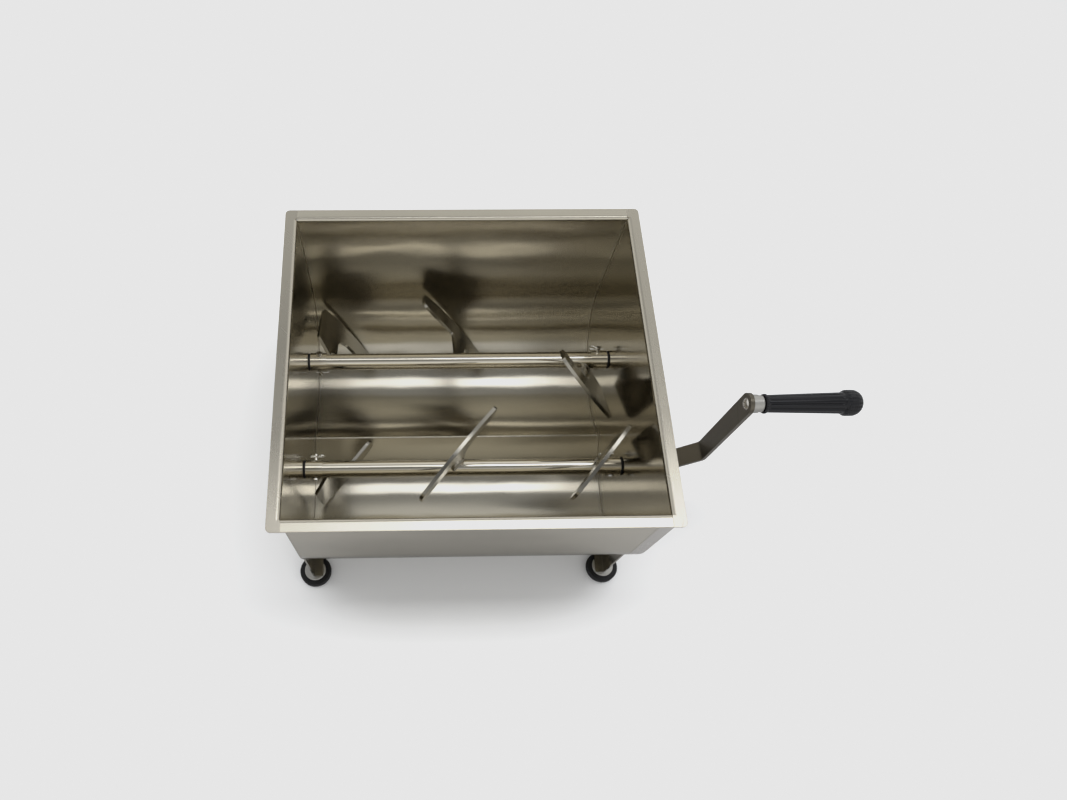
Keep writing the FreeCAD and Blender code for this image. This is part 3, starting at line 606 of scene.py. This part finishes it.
def grip_profile():
    """(x, radius) round the grip's section: collar, taper, knob, recess, bore and back."""
    corners = [
        (grip_start, bore), (grip_start, collar_radius - collar_edge),
        (grip_start + collar_edge, collar_radius), (collar_end - collar_edge, collar_radius),
        (collar_end, taper_radii[0]), (knob_start, taper_radii[1]),
    ]
    corners += arc(knob_start + shoulder_round, knob_radius - shoulder_round, shoulder_round, -64, 0)
    nose_x = knob_end - nose_round
    corners += arc(nose_x, knob_radius - nose_round, nose_round, 0, 70)
    rim = nose_x + np.sqrt(nose_round ** 2 - (recess - knob_radius + nose_round) ** 2)
    recess_floor = knob_end - recess_depth
    corners += [(rim, recess), (recess_floor, recess), (recess_floor, bore), (grip_start, bore)]
    return resample(np.array(corners), 0.0007)


print("grip profile has", len(grip_profile()), "points")


# %% Grip surface
def grip_points():
    """
    Radius = profile - flute depth * (1 - |sin(6 a)|) ** 2 along the taper, - gaps between the
    collar's beads, - pits on the knob where two families of spiral lines cross.
    """
    profile = grip_profile()
    x = profile[:, :1]
    radius = profile[:, 1:]
    around = np.linspace(0, 2 * np.pi, 240, endpoint=False)[None, :]
    carved = radius > carved_from
    flute_in = np.clip((x - collar_end - 0.001) / 0.001, 0, 1)
    flute_out = np.clip((knob_start - 0.001 - x) / 0.002, 0, 1)
    flute = (1 - np.abs(np.sin(flutes / 2 * around))) ** 2 * flute_in * flute_out
    on_collar = (x < collar_end) * carved
    collar_gap = (1 - np.abs(np.sin(flutes * around))) * on_collar
    on_knob = np.clip((x - knob_start - 0.001) / 0.001, 0, 1) * (radius > pitted_from)
    spirals = pit_columns * around
    climb = (x - knob_start) * pit_climb
    pit = np.clip(np.sin(spirals + climb) * np.sin(spirals - climb), 0, 1) * on_knob
    depth = flute_depth * flute + collar_gap_depth * collar_gap + pit_depth * pit
    r = radius - depth * carved
    return np.stack([
        np.broadcast_to(x, r.shape),
        grip_axis[0] + r * np.cos(around),
        grip_axis[1] + r * np.sin(around),
    ], axis=-1)


grip_surface = add_piece("fluted_grip", grid_mesh("fluted_grip", grip_points()), "grip", phenolic)
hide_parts("grip")

# %% [markdown]
# ## Welds
#
# Each paddle is a plate that is welded to its tube along both faces, and the tub is welded to its
# end walls with a thin seam. Without these the plates look stuck on. A texture could only darken
# the corner, and a bead catches the light, so each is a thin tube around the line where the two
# pieces meet. On a paddle that line is worked out in the paddle's own directions: along the blade,
# out from the shaft, and across the plate.

# %% Weld sizes
bottom_radius = 0.103       # of the tub's round bottoms
tube_radius = 0.010         # of the agitators' tubes
paddle_plate = 0.004
paddle_slant = 50.0         # degrees between a blade and its shaft
bead_radius = 0.0014
bead_sides = 10
bead_ripple = 0.14          # how much a bead swells, as a share of its radius
ripple_length = 0.0017
bead_steps = 90
seam_radius = 0.0005
seam_sides = 8
seam_step = 0.003
seam_top = 0.003            # from the rim down to the seam's ends

trough_low, trough_high = (np.array(corner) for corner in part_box("trough"))


def tube_axis(name):
    """(y, z) of a shaft's axis."""
    low, high = (np.array(corner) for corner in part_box(name + "_shaft_tube"))
    return ((low + high) / 2)[1:]


tub_middle = (trough_low[0] + trough_high[0]) / 2
shaft_z = tube_axis("front")[1]
shaft_gap = tube_axis("back")[0] - tube_axis("front")[0]
print("shafts are", round(shaft_gap * 1000, 1), "mm apart")


# %% Bead
def bead_points(path, out, radius, ripple, sides):
    """
    Points around a path (n, 3). At each of its points a ring lies square to the path, with its
    first direction as near to out (n, 3) as that allows. The radius swells and shrinks by a share
    (ripple) over each ripple length and falls to a quarter over the last two radii at the ends.
    """
    ahead = np.gradient(path, axis=0)
    ahead /= np.linalg.norm(ahead, axis=1, keepdims=True)
    up = out - np.sum(out * ahead, axis=1, keepdims=True) * ahead
    up /= np.linalg.norm(up, axis=1, keepdims=True)
    side = np.cross(ahead, up)
    run = np.concatenate([[0], np.cumsum(np.linalg.norm(np.diff(path, axis=0), axis=1))])
    to_end = np.minimum(run, run[-1] - run)
    swell = 1 + ripple * np.sin(run * 2 * np.pi / ripple_length)
    size = radius * swell * np.clip(0.25 + to_end / radius / 2, 0, 1)
    turn = np.linspace(0, 2 * np.pi, sides, endpoint=False)
    ring = up[:, None] * np.cos(turn)[:, None] + side[:, None] * np.sin(turn)[:, None]
    return path[:, None] + size[:, None, None] * ring


# %% Line where a paddle meets its tube
def paddle_path(axis, station, angle, hand, stem, face_side):
    """
    Line where one face of a paddle meets its tube: place + s * along + t * out + w * across,
    with t chosen so that the point is at the tube's radius, for s over the width of the stem.
    """
    lean = np.radians(paddle_slant)
    turn = np.radians(angle)
    out = np.array([0, np.sin(turn), np.cos(turn)])
    around = np.array([0, np.cos(turn), -np.sin(turn)])
    along = np.array([np.cos(lean), 0, 0]) + hand * np.sin(lean) * around
    along *= -1 if station > 0 else 1
    across = np.cross(along, out)
    w = face_side * paddle_plate / 2
    s = np.linspace(*stem, bead_steps)
    beside = s * (along @ around) + w * (across @ around)
    # near the tube's sides the plate no longer meets it
    held = np.abs(beside) < 0.97 * tube_radius
    s, beside = s[held], beside[held]
    t = np.sqrt(tube_radius ** 2 - beside ** 2)
    centre = np.array([tub_middle + station, axis[0], axis[1]])
    path = centre + s[:, None] * along + t[:, None] * out + w * across
    radial = path - centre
    radial[:, 0] = 0
    return path, radial


# %% Beads of the paddles
middle_stem = (-0.006, 0.014)
end_stem = (-0.0225, -0.001)
end_station = 0.155
# name, place along the shaft, degrees back from straight up, way it slants, and its stem
paddles = (
    ("front_middle", -0.010, -8.0, 1, middle_stem),
    ("front_right", end_station, -8.0, 1, end_stem),
    ("front_left", -end_station, 172.0, -1, end_stem),
    ("back_middle", -0.001, 120.0, 1, middle_stem),
    ("back_left", -end_station, 120.0, 1, end_stem),
    ("back_right", end_station, 300.0, -1, end_stem),
)

for name, station, angle, hand, stem in paddles:
    shaft = name.split("_")[0]
    low, high = (np.array(corner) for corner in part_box(name + "_paddle"))
    for face_side, letter in ((-1, "a"), (1, "b")):
        path, out = paddle_path(tube_axis(shaft), station, angle, hand, stem, face_side)
        outside = max((low - path).max(), (path - high).max())
        print(name, "line is", round(outside * 1000, 2), "mm outside its paddle's box")
        label = name + "_bead_" + letter
        points = bead_points(path, out, bead_radius, bead_ripple, bead_sides)
        add_piece(label, grid_mesh(label, points, False), shaft + "_agitator", weld_steel)


# %% Seams of the tub
def seam_path(x):
    """Line round the tub's section: down a wall, round both bottoms, and up the other wall."""
    wall = shaft_gap / 2 + bottom_radius
    ridge = np.arcsin(shaft_gap / 2 / bottom_radius)
    turn = np.linspace(-np.pi / 2, ridge, 60)
    front_y = -shaft_gap / 2 + bottom_radius * np.sin(turn)
    front = np.stack([front_y, shaft_z - bottom_radius * np.cos(turn)], axis=1)
    back = front[-2::-1] * (-1, 1)
    top = rim_top - seam_top
    line = resample(np.concatenate([[[-wall, top]], front, back, [[wall, top]]]), seam_step)
    path = np.column_stack([np.full(len(line), x), line])
    return path, np.tile([1.0, 0.0, 0.0], (len(path), 1))


for side, x in (("left", trough_low[0]), ("right", trough_high[0])):
    label = side + "_seam"
    points = bead_points(*seam_path(x), seam_radius, 0.0, seam_sides)
    add_piece(label, grid_mesh(label, points, False), "tub", seam_steel)

# %% [markdown]
# ## Floor
#
# One wide pale sheet. It is matt, so it only takes the soft shadow under the tub and between the
# feet. A floor as bright as this would turn the front of the tub and the legs pale as well, where
# they should mirror a mid grey, so reflections see it darker than the camera does.

# %% Floor
floor_half = 6.0
floor_tone = (0.89, 0.89, 0.89)
mirrored_floor_tone = (0.48, 0.48, 0.49)

floor_mesh = bpy.data.meshes.new("floor")
floor_corners = [(x * floor_half, y * floor_half, 0) for x, y in ((-1, -1), (1, -1), (1, 1), (-1, 1))]
floor_mesh.from_pydata(floor_corners, [], [(0, 1, 2, 3)])
floor_paint, floor_shader = start_material("floor_paint", Roughness=0.9, Specular_IOR_Level=0.1)
seen = add_node(floor_paint.node_tree, "LightPath")
paint = add_node(floor_paint.node_tree, "ValToRGB")
paint.color_ramp.elements[0].color = (*floor_tone, 1)
paint.color_ramp.elements[1].color = (*mirrored_floor_tone, 1)
link(
    floor_paint.node_tree,
    (seen.outputs["Is Glossy Ray"], paint.inputs[0]),
    (paint.outputs[0], floor_shader.inputs["Base Color"]),
)
floor_mesh.materials.append(floor_paint)
floor = bpy.data.objects.new("floor", floor_mesh)
bpy.context.scene.collection.objects.link(floor)
print("floor is", 2 * floor_half, "m wide")
